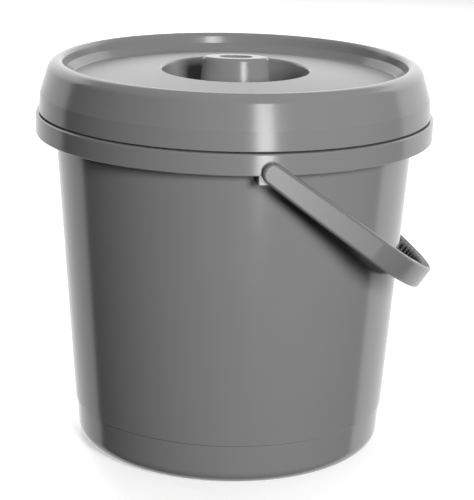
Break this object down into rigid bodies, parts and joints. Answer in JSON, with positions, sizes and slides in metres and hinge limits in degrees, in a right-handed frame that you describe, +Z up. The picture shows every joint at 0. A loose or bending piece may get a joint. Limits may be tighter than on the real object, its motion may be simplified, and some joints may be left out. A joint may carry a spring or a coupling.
{
  "type": "wash bucket",
  "caption": "Round tapered wash bucket with a rim band, a lift-off lid with a knob in a finger well, and a swinging bail handle.",
  "frame": {"origin": "centre of the bucket's foot, on the surface that it stands on", "axes": "+Z up along the bucket's axis, Y along the line through the handle's two pivots, +X to the side that the handle hangs on"},
  "size_m": [0.3159, 0.3272, 0.314],
  "materials": {
    "grey_plastic": "satin to semi-gloss, as moulded"
  },
  "bodies": {
    "bucket_body": {"bucket": "grey_plastic"},
    "lid_body": {"lid": "grey_plastic"},
    "handle_body": {"handle": "grey_plastic"}
  },
  "joints": [
    {"name": "handle_swing", "type": "hinge", "parent": "bucket_body", "child": "handle_body", "pos_m": [0, 0, 0.2562], "axis": [0, -1, 0], "range_deg": [0, 253.2]},
    {"name": "lid_lift", "type": "slide", "parent": "bucket_body", "child": "lid_body", "axis": [0, 0, 1], "range_m": [0, 0.09]}
  ]
}
